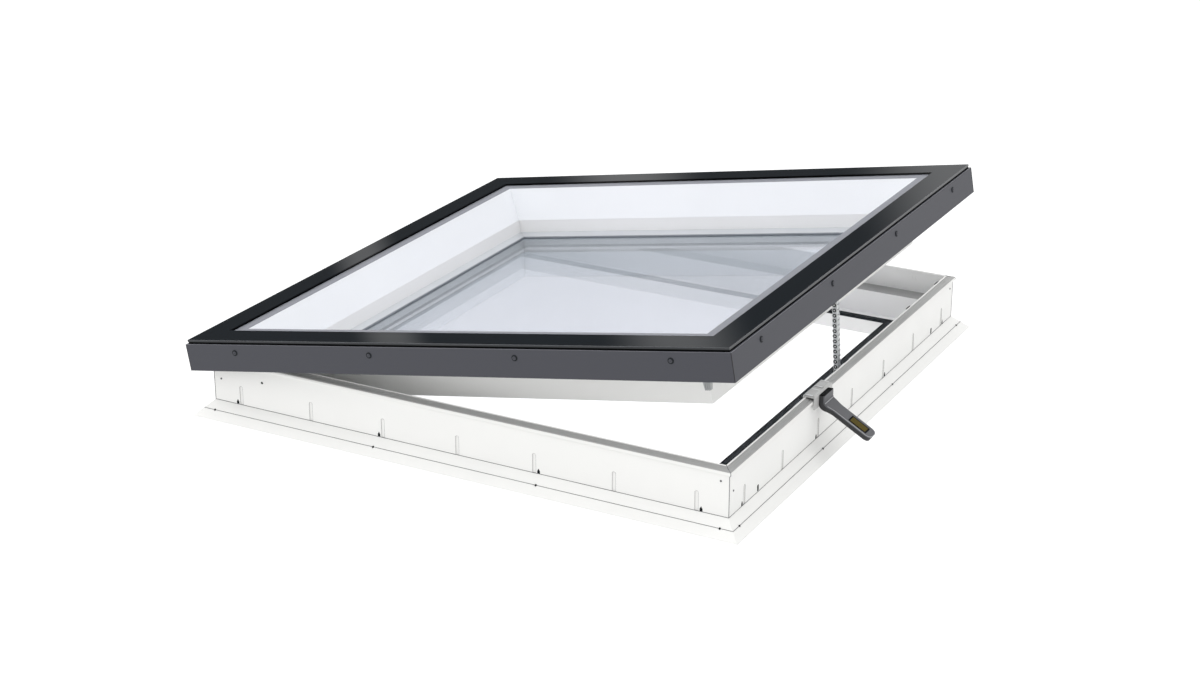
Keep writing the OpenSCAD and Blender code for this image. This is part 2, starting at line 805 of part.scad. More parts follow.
module cover_frame(side) {
    color(PVC) in_sash() difference() {
        sash_mitred(side) difference() {
            union() {
                polygon(cover_pts);
                polygon(leg_pts);
            }
            polygon(inset(cover_pts, pvc_t));
        }
        cap_places(side) translate([0, 0, -pvc_t - 3]) cylinder(d = screw_d + 2 * running_gap, h = pvc_t + 6);
    }
}

// ---- Sash ----

// Hollow rail that carries the insulating glass unit on a lip
web_pts = [[sash_foot_edge, -sash_deep], [crease_edge, -sash_deep],
           [crease_edge, -crease_z], [sash_top_edge, -crease_z]];

module sash_rail(side) {
    color(PVC) in_sash() sash_mitred(side) difference() {
        union() {
            polygon(web_pts);
            translate([crease_edge - eps, -lip_top - lip_t]) square([lip_edge - crease_edge + eps, lip_t]);
        }
        polygon(inset(web_pts, pvc_t));
    }
}

bead_top = igu_z - bead_gasket_h - bead_h;
module glazing_beads() {
    color("#E4E5E4") in_sash() for (side = SIDES) sash_mitred(side)
        polygon([[crease_edge, -igu_z + bead_gasket_h], [bead_edge, -igu_z + bead_gasket_h],
                 [bead_edge, -igu_z + bead_gasket_h + 1.2], [crease_edge, -bead_top]]);
}

module bead_gasket() {
    color(RUBBER) in_sash() sash_ring(igu_in, bead_edge + 1, igu_z - bead_gasket_h, igu_z);
}

module lip_gasket() {
    color(RUBBER) in_sash() sash_ring(igu_in, lip_edge - 1, igu_foot, lip_top);
}

module igu_outer_pane() {
    color("#C8D2DA", 0.5) in_sash() sash_plate(igu_in, igu_z, igu_z + pane_out_t);
}

module igu_inner_pane() {
    color("#C8D2DA", 0.5) in_sash() sash_plate(igu_in, igu_foot - pane_in_t, igu_foot);
}

module igu_spacer() {
    color("#C9CBCD") in_sash()
        sash_ring(spacer_in, spacer_in + spacer_w, igu_z + pane_out_t, igu_foot - pane_in_t);
}

module igu_sealant() {
    color("#2B2D30") in_sash() sash_ring(igu_in, spacer_in, igu_z + pane_out_t, igu_foot - pane_in_t);
}

// Ribbed, tapered guides that drop into the trough's corners on the opening side
guide_in_x = 58;
guide_in_y = 25;
guide_foot = 115;
guide_depth = 10;
guide_foot_w = 13;
guide_taper = 0.32;
module corner_guide() {
    drop = guide_foot - cover_under;
    half_top = guide_foot_w / 2 + drop * guide_taper / 2;
    translate([0, guide_depth / 2, 0]) rotate([90, 0, 0]) linear_extrude(guide_depth)
        polygon([[-guide_foot_w / 2, -drop], [guide_foot_w / 2, -drop], [half_top, 0], [-half_top, 0]]);
    for (x = [-1, 0, 1]) translate([x * guide_foot_w / 3 - 0.8, -guide_depth / 2 - 1.5, -drop])
        cube([1.6, guide_depth + 3, drop]);
}

module corner_guides() {
    color("#C9CBCC") in_sash() for (m = [0, 1]) mirror([0, m, 0])
        translate([half_w - guide_in_x, guide_in_y - half_d, glass_z - cover_under])
            corner_guide();
}

base_rail(FRONT);  // base_rail_front
base_rail(OPENING);  // base_rail_opening
base_rail(BACK);  // base_rail_back
base_rail(HINGE);  // base_rail_hinge
insulation(FRONT);  // insulation_front
insulation(OPENING);  // insulation_opening
insulation(BACK);  // insulation_back
insulation(HINGE);  // insulation_hinge
base_gasket();
corner_pins();
base_leaf(-1);  // hinge_leaf_front
base_leaf(1);  // hinge_leaf_back
hinge_pin(-1);  // hinge_pin_front
hinge_pin(1);  // hinge_pin_back
actuator_housing();
actuator_end_caps();
actuator_motor();
chain_drive();
chain_guide();
chain();
sensor_saddle();
sensor_arm();
sensor_window();
sensor_patch();
top_glass();
glass_seal();
glass_tape();
skirt(FRONT);  // skirt_front
skirt(OPENING);  // skirt_opening
skirt(BACK);  // skirt_back
skirt(HINGE);  // skirt_hinge
skirt_screws();
screw_washers();
cover_frame(FRONT);  // cover_frame_front
cover_frame(OPENING);  // cover_frame_opening
cover_frame(BACK);  // cover_frame_back
cover_frame(HINGE);  // cover_frame_hinge
sash_rail(FRONT);  // sash_rail_front
sash_rail(OPENING);  // sash_rail_opening
sash_rail(BACK);  // sash_rail_back
sash_rail(HINGE);  // sash_rail_hinge
glazing_beads();
bead_gasket();
lip_gasket();
igu_outer_pane();
igu_spacer();
igu_sealant();
igu_inner_pane();
sash_leaf(-1);  // sash_leaf_front
sash_leaf(1);  // sash_leaf_back
chain_bracket();
chain_pin();
corner_guides();
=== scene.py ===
# %% [markdown]
# # A flat-roof skylight, finished in Blender
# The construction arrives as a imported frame: every rail, pane, seal and screw is already there at
# its real size. This lesson dresses that frame. Pieces whose shape is right only get a material,
# and a few that are moulded or stamped in reality are modelled again with softer edges.
# The frame is loaded first, because every later piece rides on one of its two bodies: the base,
# which is nailed to the roof, and the sash, which swings open on its hinges.

# %% Load the frame
import json
import math

import bpy
import numpy as np
from mathutils import Matrix, Vector


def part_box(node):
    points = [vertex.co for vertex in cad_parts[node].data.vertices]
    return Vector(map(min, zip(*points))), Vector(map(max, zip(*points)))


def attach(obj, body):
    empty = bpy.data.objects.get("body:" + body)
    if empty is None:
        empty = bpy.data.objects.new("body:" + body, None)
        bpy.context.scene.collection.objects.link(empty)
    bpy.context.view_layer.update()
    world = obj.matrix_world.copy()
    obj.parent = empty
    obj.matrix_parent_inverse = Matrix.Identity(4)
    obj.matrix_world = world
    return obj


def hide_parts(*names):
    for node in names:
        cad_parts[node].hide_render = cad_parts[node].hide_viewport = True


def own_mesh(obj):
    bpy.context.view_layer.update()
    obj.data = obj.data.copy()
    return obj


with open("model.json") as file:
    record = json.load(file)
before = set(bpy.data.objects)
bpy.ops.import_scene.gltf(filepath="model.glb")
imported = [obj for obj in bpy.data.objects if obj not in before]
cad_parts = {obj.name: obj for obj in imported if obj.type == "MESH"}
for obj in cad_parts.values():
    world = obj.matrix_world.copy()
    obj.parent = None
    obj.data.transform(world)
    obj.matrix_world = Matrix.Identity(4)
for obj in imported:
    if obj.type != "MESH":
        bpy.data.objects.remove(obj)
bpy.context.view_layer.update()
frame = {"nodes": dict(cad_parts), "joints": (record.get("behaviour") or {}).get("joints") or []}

# %% [markdown]
# ## Units and colours
# Sizes are easier to read in millimetres, so one factor turns them into Blender's metres.
# Colours are chosen as sRGB hex values, the way a colour chart lists them, while shader sockets
# expect linear light. One function does that conversion for every material.

# %% Helpers for units and colours
MM = 0.001


def linear(hex_colour):
    """sRGB hex to linear RGBA: c/12.92 below 0.04045, else ((c + 0.055) / 1.055) ** 2.4."""
    srgb = np.array([int(hex_colour[i:i + 2], 16) for i in (1, 3, 5)]) / 255
    light = np.where(srgb <= 0.04045, srgb / 12.92, ((srgb + 0.055) / 1.055) ** 2.4)
    return (*light.tolist(), 1.0)


print("white plastic in linear light", [round(c, 3) for c in linear("#F2F2F0")[:3]])

# %% [markdown]
# ## One helper for node trees
# A material is a small graph. Building it needs one move again and again: add a node, set what
# is fixed, and link what comes from other nodes. `add` does that move, so each material below
# reads as a list of its ingredients. Values keyed by a socket's name or number are set, a hex
# colour is converted on the way, and a value that is itself a socket is linked.

# %% Helpers for materials
def add(tree, kind, inputs=None, out=0, **settings):
    """Adds a node, sets its properties, sets or links its inputs, and gives one output."""
    node = tree.nodes.new("ShaderNode" + kind)
    for name, value in settings.items():
        setattr(node, name, value)
    for key, value in (inputs or {}).items():
        if isinstance(value, bpy.types.NodeSocket):
            tree.links.new(value, node.inputs[key])
        else:
            node.inputs[key].default_value = linear(value) if isinstance(value, str) else value
    return node.outputs[out]


def new_material(name):
    """An empty material and its node tree, with only the output left in it."""
    material = bpy.data.materials.new(name)
    material.use_nodes = True
    tree = material.node_tree
    for node in list(tree.nodes):
        if node.bl_idname != "ShaderNodeOutputMaterial":
            tree.nodes.remove(node)
    return material, tree


def output(tree, surface):
    """Links a shader to the material's output."""
    tree.links.new(surface, tree.nodes["Material Output"].inputs["Surface"])


def object_noise(tree, size_mm, detail=3.0, stretch=(1, 1, 1)):
    """A pattern on Object coordinates with grains about size_mm wide, stretched along axes."""
    place = add(tree, "TexCoord", out="Object")
    scaled = add(tree, "Mapping", {"Vector": place, "Scale": stretch})
    return add(tree, "TexNoise", {"Vector": scaled, "Scale": 1 / (size_mm * MM),
                                  "Detail": detail, "Roughness": 0.5}, "Fac")


def dress(material, *names):
    """Gives CAD nodes a material, in place of the plain colour they were packed with."""
    for name in names:
        node = frame["nodes"][name]
        node.data.materials.clear()
        node.data.materials.append(material)
    print(material.name, "on", len(names), "nodes")


print("material helpers ready")

# %% [markdown]
# ## One recipe for solid surfaces
# Plastic, rubber, powder coat and metal differ in numbers more than in structure. On each, a
# noise drifts the tone between two close colours, and sometimes the gloss with it. Edges can be
# shaded round, and a finer noise can raise a relief. So one recipe takes those numbers.

# %% The recipe
NOISE_LOW, NOISE_HIGH = 0.3, 0.7


def drifting(name, colours, grain_mm, rough, specular=0.5, detail=3.0, stretch=(1, 1, 1),
             edge_mm=0.0, relief=None, more=None):
    """A material whose tone drifts between two colours with a noise of grain_mm.

    rough is one value, or the two values that the noise's middle range spans. edge_mm rounds
    the shaded edges. relief is a bump as (size_mm, detail, depth_mm, strength). more holds
    further inputs of the surface shader.
    """
    material, tree = new_material(name)
    drift = object_noise(tree, grain_mm, detail, stretch)
    inputs = {"Specular IOR Level": specular, "Roughness": rough}
    inputs["Base Color"] = add(tree, "Mix", {"Factor": drift, "A": colours[0], "B": colours[1]},
                               "Result", data_type="RGBA")
    if isinstance(rough, tuple):
        inputs["Roughness"] = add(tree, "MapRange", {
            "Value": drift, "From Min": NOISE_LOW, "From Max": NOISE_HIGH,
            "To Min": rough[0], "To Max": rough[1]})
    if edge_mm:
        inputs["Normal"] = add(tree, "Bevel", {"Radius": edge_mm * MM}, samples=4)
    if relief:
        size_mm, relief_detail, depth_mm, strength = relief
        raised = {"Height": object_noise(tree, size_mm, relief_detail),
                  "Distance": depth_mm * MM, "Strength": strength}
        if edge_mm:
            raised["Normal"] = inputs["Normal"]
        inputs["Normal"] = add(tree, "Bump", raised)
    output(tree, add(tree, "BsdfPrincipled", {**inputs, **(more or {})}))
    return material


print("noise counts as low under", NOISE_LOW, "and high over", NOISE_HIGH)

# %% [markdown]
# ## The camera
# The camera stands in front of the open corner and looks down on the glass by about 22 degrees.
# A long lens keeps the square frame from looking stretched. Its place and turn come first, so
# that every later choice can be checked through it.

# %% Camera
CAMERA_AT = (2.4694, -4.5728, 2.1516)
CAMERA_TURN = (68.305, 0.0, 28.367)
LENS_MM = 67.97
SENSOR_MM = 36.0

camera_data = bpy.data.cameras.new("camera")
camera_data.lens = LENS_MM
camera_data.sensor_width = SENSOR_MM
camera = bpy.data.objects.new("camera", camera_data)
camera.location = CAMERA_AT
camera.rotation_euler = [math.radians(a) for a in CAMERA_TURN]
bpy.context.collection.objects.link(camera)
bpy.context.scene.camera = camera
print("camera at", CAMERA_AT)

# %% [markdown]
# ## Studio light
# White plastic on a white floor shows its form only where light is held back: under the sash, in
# the trough and inside the rim. So a wide, even dome and a glowing floor do nearly all the
# lighting. The dome is brighter overhead and dimmer on the opening side. Polished glass is the
# opposite: it looks black only when it mirrors something dark, so perfectly sharp reflections
# see a dim studio instead, with three tall soft strips of light in it. Seen straight on, the
# dome is plain white like the floor, so no horizon shows from a low view.

# %% Sky
SKY_LOW = 1.05
SKY_TOP = 1.95
FAR_DIM = 0.42
FAR_WAY = (1.0, 0.1, 0.0)
MIRRORED_DIM = 0.065
MIRRORED_STRIP = 0.36
# Azimuth from +Y towards -X, half-width in degrees and strength of each strip
STRIPS = ((38.6, 1.1, 0.8), (31.6, 2.2, 1.0), (23.5, 3.2, 1.1))
TRANSPARENT_BOUNCES = 32

scene = bpy.context.scene
scene.view_settings.view_transform = "Standard"
scene.cycles.transparent_max_bounces = TRANSPARENT_BOUNCES
world = bpy.data.worlds.new("studio")
world.use_nodes = True
tree = world.node_tree
direction = add(tree, "TexCoord", out="Generated")
way = add(tree, "SeparateXYZ", {0: direction}).node.outputs
height = add(tree, "Math", {0: way["Z"], 1: way["Z"]}, operation="MULTIPLY")
upper = add(tree, "MapRange", {"Value": height, "To Min": SKY_LOW, "To Max": SKY_TOP})
far = add(tree, "VectorMath", {0: direction, 1: FAR_WAY}, "Value", operation="DOT_PRODUCT")
kept = add(tree, "MapRange", {"Value": far, "From Min": 0.0, "To Min": 1.0,
                              "To Max": 1.0 - FAR_DIM})
sky = add(tree, "Math", {0: upper, 1: kept}, operation="MULTIPLY")

# %% Strips in the mirrored studio
west = add(tree, "Math", {0: way["X"], 1: -1.0}, operation="MULTIPLY")
azimuth = add(tree, "Math", {0: west, 1: way["Y"]}, operation="ARCTAN2")
mirrored = MIRRORED_DIM
for middle, half_width, strength in STRIPS:
    turned = add(tree, "Math", {0: azimuth, 1: math.radians(middle)}, operation="SUBTRACT")
    off = add(tree, "Math", {0: turned}, operation="ABSOLUTE")
    strip = add(tree, "MapRange", {"Value": off, "From Max": math.radians(half_width),
                                   "To Min": MIRRORED_STRIP * strength, "To Max": 0.0},
                interpolation_type="SMOOTHERSTEP")
    mirrored = add(tree, "Math", {0: strip, 1: mirrored}, operation="ADD")
light_path = add(tree, "LightPath").node.outputs
lit = add(tree, "Mix", {"Factor": light_path["Is Singular Ray"], 2: sky, 3: mirrored})
level = add(tree, "Mix", {"Factor": light_path["Is Camera Ray"], 2: lit, 3: 1.0})
tree.nodes["Background"].inputs["Color"].default_value = linear("#FFFFFF")
tree.links.new(level, tree.nodes["Background"].inputs["Strength"])
scene.world = world
print("strips at", [strip[0] for strip in STRIPS], "degrees")

# %% [markdown]
# One very soft lamp gives the sensor its faint shadow. The floor glows by itself, so it stays
# even and white, and it is part of the stage: it never counts as a piece of the window.

# %% Soft lamp
LAMP_FROM = Vector((0.55, 0.45, 0.9))
LAMP_STRENGTH = 0.20
LAMP_SPREAD = 16
lamp_data = bpy.data.lights.new("soft_lamp", "SUN")
lamp_data.energy = LAMP_STRENGTH
lamp_data.angle = math.radians(LAMP_SPREAD)
lamp = bpy.data.objects.new("soft_lamp", lamp_data)
lamp.rotation_euler = LAMP_FROM.to_track_quat("Z", "Y").to_euler()
bpy.context.collection.objects.link(lamp)
print("lamp spreads over", LAMP_SPREAD, "degrees")

# %% Floor
FLOOR_GLOW = 0.95
FLOOR_HALF = 14.0
FLOOR_BELOW = 0.5 * MM
floor_material, tree = new_material("studio_floor")
output(tree, add(tree, "BsdfPrincipled", {
    "Base Color": "#7A7A7A", "Roughness": 0.9, "Specular IOR Level": 0.0,
    "Emission Color": "#FFFFFF", "Emission Strength": FLOOR_GLOW}))
corners = [(x * FLOOR_HALF, y * FLOOR_HALF, -FLOOR_BELOW)
           for x, y in ((-1, -1), (1, -1), (1, 1), (-1, 1))]
floor_mesh = bpy.data.meshes.new("studio_floor")
floor_mesh.from_pydata(corners, [], [(0, 1, 2, 3)])
floor_mesh.materials.append(floor_material)
floor = bpy.data.objects.new("studio_floor", floor_mesh)
bpy.context.collection.objects.link(floor)
print("floor", 2 * FLOOR_HALF, "m wide")

# %% [markdown]
# ## White window plastic
# The base and the sash are extruded PVC-U: a satin white whose tone and gloss drift faintly over
# a hand's width. It is never pure white. A rounded edge catches the light, so the shader rounds
# its normals by about half a millimetre. The splayed cover frame is the same PVC, drawn a touch
# lighter and bluer as painted light for what reaches it through the cover glass. The glazing beads
# are drawn in a mid grey, and the sensor's saddle is the same kind of plastic in grey.

# %% Extruded PVC
def pvc_profile(name, *colours):
    """Satin extruded plastic: slight mottle in tone and gloss, softened edges."""
    return drifting(name, colours, 90, (0.34, 0.42), detail=2, edge_mm=0.6,
                    relief=(1.2, 2, 0.02, 0.05), more={"IOR": 1.53})


def nodes_named(*starts):
    """Names of the CAD nodes that begin with one of the given words."""
    return [name for name in frame["nodes"] if name.startswith(starts)]


# Same PVC as the rails, drawn a touch lighter and bluer: painted light for what reaches the splay
# through the cover glass
splay_white_painted_light = pvc_profile("white_pvc_splayed_frame_painted_light", "#EBEDEE", "#E8EAEB")
rail_white = pvc_profile("white_pvc_extruded", "#E8E8E6", "#E5E5E3")
dress(rail_white, *nodes_named("base_rail", "sash_rail"))
dress(splay_white_painted_light, *nodes_named("cover_frame"))
# The glazing beads are drawn a mid grey, darker than the frame round them
dress(pvc_profile("glazing_bead_mid_grey", "#C3C6C8", "#BDC0C2"), "glazing_beads")
dress(pvc_profile("light_grey_asa_moulded", "#BBBBBA", "#B5B5B4"), "sensor_saddle")

# %% [markdown]
# ## Grey coated aluminium
# The skirt round the glass is folded aluminium with a matt polyester powder coat. Powder melts
# into a fine orange peel, about a millimetre from crest to crest, which breaks up reflections.

# %% Powder-coated aluminium
powder = drifting("grey_powder_coated_aluminium", ("#3E3F45", "#43444B"), 0.7, 0.5, 0.3, detail=1,
                  edge_mm=0.5, relief=(1.1, 2, 0.03, 0.5))
dress(powder, "skirt_front", "skirt_opening", "skirt_back", "skirt_hinge", "skirt_screws")

# %% [markdown]
# ## Rubber, foam, metals and moulded plastic
# Seals are EPDM rubber: nearly black, matt, with a slightly bluish tone. The silicone that bonds
# the cover glass is drawn blacker than real silicone, as painted shade, so the gap below the glass
# edge reads as a black line. The hidden foam is expanded polystyrene. Small metal parts are
# stainless or zinc-plated steel, and the actuator housing and spacer bar are plain aluminium.

# %% Rubber and silicone
rubber = drifting("black_epdm_rubber", ("#171B1E", "#1E2326"), 4, (0.6, 0.75), 0.2,
                  relief=(0.8, 3, 0.05, 0.4))
dress(rubber, "base_gasket", "screw_washers", "lip_gasket")
# Near-zero black with almost no gloss: the seal's own black deepened into painted shade for the gap
# under the glass edge
sealant = drifting("black_sealant_painted_shade", ("#020303", "#060708"), 5, 0.6, 0.05)
dress(sealant, "glass_seal", "glass_tape")
grey_rubber = drifting("grey_epdm_rubber", ("#8A8E92", "#94989C"), 4, (0.6, 0.75), 0.2)
dress(grey_rubber, "bead_gasket", "igu_sealant")

# %% Polystyrene foam
foam, tree = new_material("white_polystyrene_foam")
cells = add(tree, "TexVoronoi", {"Vector": add(tree, "TexCoord", out="Object"),
                                 "Scale": 1 / (4 * MM)}, "Distance")
beads = add(tree, "Bump", {"Height": cells, "Distance": 0.4 * MM, "Strength": 0.6})
output(tree, add(tree, "BsdfPrincipled", {"Base Color": "#ECECE8", "Roughness": 0.8,
                                          "Normal": beads}))
dress(foam, *nodes_named("insulation"))

# %% Metals
ROUGH_SPREAD = 0.06


def metal(name, colour_a, colour_b, rough, grain_mm=0.5, stretch=(1, 1, 1)):
    """Bare or plated metal with a fine grain in its gloss."""
    gloss = (rough - ROUGH_SPREAD, rough + ROUGH_SPREAD)
    return drifting(name, (colour_a, colour_b), grain_mm, gloss, stretch=stretch, edge_mm=0.4,
                    more={"Metallic": 1.0})


stainless = metal("stainless_steel_turned", "#A9ACB0", "#C4C7CA", 0.3)
zinc = metal("zinc_plated_steel", "#8B8F93", "#A8ABAE", 0.38, grain_mm=6)
aluminium = metal("mill_finish_aluminium", "#A8ABAE", "#BDBFC1", 0.36, stretch=(1, 0.02, 1))
dress(stainless, "hinge_pin_front", "hinge_pin_back", "chain_pin")
dress(zinc, "hinge_leaf_front", "hinge_leaf_back", "sash_leaf_front", "sash_leaf_back",
      "chain_bracket", "chain_drive", "actuator_motor", "chain")
dress(aluminium, "actuator_housing", "igu_spacer")


# %% Moulded plastics
def moulded(name, colour_a, colour_b, rough):
    """Injection-moulded plastic with a fine spark-eroded texture."""
    return drifting(name, (colour_a, colour_b), 0.6, rough, detail=2, edge_mm=0.5,
                    relief=(0.6, 2, 0.03, 0.5))


dark_abs = moulded("dark_grey_abs_moulded", "#47484C", "#4E4F53", 0.42)
grey_nylon = moulded("grey_nylon_moulded", "#9FA1A2", "#AAACAD", 0.45)
# The corner pins are drawn in this dark grey, so each shows as a dark dot at its corner
dress(dark_abs, "corner_pins", "actuator_end_caps", "chain_guide", "sensor_arm")
dress(grey_nylon, "corner_guides")

# %% Sensor window and its film
# A wave texture draws a line every 2 pi / 20 of its own units, so its scale follows from that
FILM_LINE = 1.4475 * MM
window_black = drifting("black_polycarbonate_window", ("#060708", "#0A0B0D"), 8, 0.5, 0.04)
dress(window_black, "sensor_window")
film, tree = new_material("gold_sensing_film")
lines = add(tree, "TexWave", {"Vector": add(tree, "TexCoord", out="Object"),
                              "Scale": 2 * math.pi / (20 * FILM_LINE)}, "Fac", bands_direction="Y")
gold = add(tree, "Mix", {"Factor": lines, "A": "#3E3506", "B": "#574A0C"}, "Result",
           data_type="RGBA")
output(tree, add(tree, "BsdfPrincipled", {"Base Color": gold, "Roughness": 0.5,
                                          "Specular IOR Level": 0.1}))
dress(film, "sensor_patch")

# %% [markdown]
# ## Sash coordinates
# The sash lies tilted at rest, because the window stands open. Patterns and new pieces on it
# are simplest in the closed window's axes, so a matrix turns closed places into open ones about
# the hinge. The turn comes from the joint in the record: its axis, its place and its range.

# %% The turn between closed and open
joint = frame["joints"][0]
hinge_at = Vector(joint["pos_m"])
open_turn = Matrix.Rotation(math.radians(-joint["range_deg"][0]), 4, Vector(joint["axis"]))
to_open = Matrix.Translation(hinge_at) @ open_turn @ Matrix.Translation(-hinge_at)
to_closed = to_open.inverted()


def closed_box(name):
    """Lowest and highest corner of a sash node, measured with the window shut."""
    mesh = frame["nodes"][name].data
    points = np.empty(3 * len(mesh.vertices))
    mesh.vertices.foreach_get("co", points)
    turn, shift = np.array(to_closed.to_3x3()), np.array(to_closed.translation)
    turned = points.reshape(-1, 3) @ turn.T + shift
    return turned.min(axis=0), turned.max(axis=0)


glass_low, glass_high = closed_box("top_glass")
print("cover glass, shut, mm:", np.round(glass_low / MM, 1), np.round(glass_high / MM, 1))

# %% [markdown]
# ## Glass
# Thin clear glass bends a view so little that a see-through shader with a mirror on top tells
# the same story as refraction, with far less noise. Fresnel sets how much it mirrors, and only
# the side that faces out does. The outer insulating pane has a coating, so it mirrors more and
# greyer, with a trace of haze.

# %% Clear and coated panes
GLASS_IOR = 1.52
CLEAR_SHARE, COATED_SHARE = 0.12, 2.8


def glass_shader(tree, colour, share, mirror_colour="#FFFFFF", mirror_rough=0.0):
    """Thin glass: a tinted see-through shader under a mirror of share times Fresnel."""
    through = add(tree, "BsdfTransparent", {"Color": colour})
    mirror = add(tree, "BsdfGlossy", {"Roughness": mirror_rough, "Color": mirror_colour})
    outside = add(tree, "Math", {0: 1.0, 1: add(tree, "NewGeometry", out="Backfacing")},
                  operation="SUBTRACT")
    scaled = add(tree, "Math", {0: add(tree, "Fresnel", {"IOR": GLASS_IOR}), 1: share},
                 operation="MULTIPLY")
    factor = add(tree, "Math", {0: scaled, 1: outside}, operation="MULTIPLY", use_clamp=True)
    return add(tree, "MixShader", {0: factor, 1: through, 2: mirror})


pane, tree = new_material("clear_float_glass")
output(tree, glass_shader(tree, "#FDFDFE", CLEAR_SHARE))
dress(pane, "igu_inner_pane")
coated_pane, tree = new_material("coated_insulating_glass")
output(tree, glass_shader(tree, "#FCFCFE", COATED_SHARE, "#C6CCD1", 0.03))
dress(coated_pane, "igu_outer_pane")

# %% [markdown]
# The cover glass carries a black ceramic border that hides and shades the bonding. It is a
# glossy black where the distance to the glass edge is under 71 mm.

# %% Cover glass with its ceramic border
BORDER = 71 * MM
cover, tree = new_material("toughened_glass_black_border")
centre = (glass_low + glass_high) / 2
half = (glass_high - glass_low) / 2
from_middle = add(tree, "Mapping", {"Vector": add(tree, "TexCoord", out="Object"),
                                    "Location": tuple(-(to_open @ Vector(centre)))})
inside = []
for direction, half_size in zip((Vector((1, 0, 0)), Vector((0, 1, 0))), half):
    sash_way = tuple(to_open.to_3x3() @ direction)
    along = add(tree, "VectorMath", {0: from_middle, 1: sash_way}, "Value",
                operation="DOT_PRODUCT")
    size = add(tree, "Math", {0: along}, operation="ABSOLUTE")
    inside.append(add(tree, "Math", {0: half_size, 1: size}, operation="SUBTRACT"))
nearest = add(tree, "Math", {0: inside[0], 1: inside[1]}, operation="MINIMUM")
border = add(tree, "Math", {0: nearest, 1: BORDER}, operation="LESS_THAN")
ceramic = add(tree, "BsdfPrincipled", {"Base Color": "#0D141A", "Roughness": 0.0,
                                       "IOR": GLASS_IOR})
output(tree, add(tree, "MixShader", {0: border, 1: glass_shader(tree, "#FEFEFF", CLEAR_SHARE),
                                     2: ceramic}))
dress(cover, "top_glass")

# %% [markdown]
# ## Surfaces from grids
# Every new piece is a grid of points: each row is a closed loop, and neighbouring rows are joined
# by quads. `surface` builds those quads and turns them outwards by the sign of the volume they
# enclose. `piece` gathers one or more such surfaces into an object that rides on a body.

# %% Grid helpers
def surface(points, closed_path=False):
    """Quads between the rows of a (rows, columns, 3) grid of loops, capped if the path is open.

    The volume about the grid's middle, the sum of p . (q x r) over its faces, gives the side
    that faces outwards: where it is negative every face is reversed.
    """
    rows, columns = points.shape[:2]
    index = np.arange(rows * columns).reshape(rows, columns)
    here, after = (index, np.roll(index, -1, 0)) if closed_path else (index[:-1], index[1:])
    quads = np.stack([here, np.roll(here, -1, 1), np.roll(after, -1, 1), after], -1).reshape(-1, 4)
    corners = points.reshape(-1, 3)
    a, b, c, d = (corners[quads[:, k]] - corners.mean(axis=0) for k in range(4))
    volume = np.sum(a * np.cross(b, c)) + np.sum(a * np.cross(c, d))
    faces = quads.tolist()
    if not closed_path:
        faces += [index[0][::-1].tolist(), index[-1].tolist()]
    return corners, [face[::-1] for face in faces] if volume < 0 else faces


def piece(name, surfaces, material, body, smooth=True):
    """One object out of several surfaces, in millimetres, riding on a body.
    """
    start = np.cumsum([0] + [len(points) for points, _ in surfaces])
    faces = [[i + first for i in face]
             for first, (_, part) in zip(start, surfaces) for face in part]
    mesh = bpy.data.meshes.new(name)
    mesh.from_pydata((np.concatenate([points for points, _ in surfaces]) * MM).tolist(), [], faces)
    mesh.polygons.foreach_set("use_smooth", np.full(len(faces), smooth))
    mesh.materials.append(material)
    mesh.update()
    thing = bpy.data.objects.new(name, mesh)
    bpy.context.collection.objects.link(thing)
    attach(thing, body)
    print(name, len(faces), "faces")
    return thing


print("3 rows of 4 points make", len(surface(np.zeros((3, 4, 3)))[1]), "faces")


# %% Helpers for sections and paths
def opened(points):
    """Places given with the window shut, in millimetres, turned to the open sash."""
    turn = np.array(to_open)
    return points @ turn[:3, :3].T + turn[:3, 3] / MM


def disc(centre, radius, sides=10):
    """Points of a round section about a centre (u, v)."""
    angle = np.linspace(0, 2 * np.pi, sides, endpoint=False)
    return np.stack([centre[0] + radius * np.cos(angle), centre[1] + radius * np.sin(angle)], -1)


def square_ring(section, half):
    """A section of (inset, height) points carried round a square of a given half size.

    Each corner (sx, sy) gives the row (sx (half - inset), sy (half - inset), height).
    """
    signs = np.array([[-1, -1], [1, -1], [1, 1], [-1, 1]])
    level = signs[:, None, :] * (half - section[None, :, :1])
    heights = np.broadcast_to(section[None, :, 1:], (4, len(section), 1))
    return np.concatenate([level, heights], -1)


def tube(path, radius, across, sides=8):
    """A round tube along a path that lies in the plane at right angles to `across`."""
    along = np.gradient(path, axis=0)
    along /= np.linalg.norm(along, axis=1, keepdims=True)
    up = np.cross(along, across)
    circle = disc((0, 0), radius, sides)
    return path[:, None] + circle[None, :, :1] * across + circle[None, :, 1:] * up[:, None]


print("a section of 4 points round a square gives a grid of",
      square_ring(disc((0, 0), 1, 4), 10).shape)

# %% [markdown]
# ## Joints and weld lines
# Each rail is cut at 45 degrees and welded to its neighbour, and the flange carries a scored nail
# line. In reality these are V grooves half a millimetre wide that hold shadow. They are too fine
# to trace light into, so each is drawn as a dark bead sunk to half its depth, at most 1.6 mm
# across. The edges of the drain slots are drawn the same way, finer.

# %% Shaded joint lines of the base
joint_line = drifting("shaded_joint_line", ("#66686A", "#7A7C7E"), 30, 0.9)

WALL = 670
FLANGE_OUT = 39.5
FLANGE_TOP = 36.3
NAIL_OUT = 20
NAIL_LEVEL = FLANGE_TOP * (1 - NAIL_OUT / FLANGE_OUT)
MITRE_R, FLANGE_LINE_R, NAIL_LINE_R, SLOT_LINE_R = 0.8, 0.65, 0.55, 0.22
